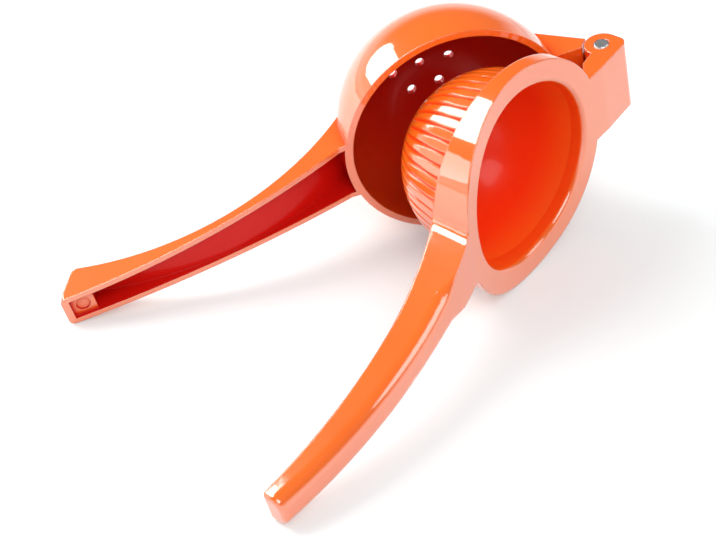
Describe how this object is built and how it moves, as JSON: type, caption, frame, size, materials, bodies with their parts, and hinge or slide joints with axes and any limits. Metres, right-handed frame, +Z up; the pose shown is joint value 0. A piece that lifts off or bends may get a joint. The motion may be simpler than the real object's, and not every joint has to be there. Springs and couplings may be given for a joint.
{
  "type": "hinged lemon squeezer",
  "caption": "Hinged hand squeezer of cast metal with an orange enamel coat: a ribbed dome presses half a lemon into a pierced bowl.",
  "frame": {"origin": "middle of the bounding box on the table, Z = 0", "axes": "+Z up from the table that the open tool lies on; +X toward the hinge, along the bowl half; the press half lies on the -Y side"},
  "size_m": [0.2146, 0.1844, 0.0849],
  "materials": {
    "enamel_bowl": "glossy orange enamel on cast aluminium",
    "enamel_press": "glossy orange enamel on cast aluminium",
    "pin_steel": "bare turned steel"
  },
  "bodies": {
    "bowl": {"bowl_half": "enamel_bowl"},
    "press": {"press_half": "enamel_press", "hinge_pin": "pin_steel"}
  },
  "joints": [
    {"name": "hinge", "type": "hinge", "parent": "bowl", "child": "press", "pos_m": [0.09657, 0.04523, 0.05544], "axis": [-0.2291, -0.0935, 0.9689], "range_deg": [-30.8, 79.2]}
  ]
}
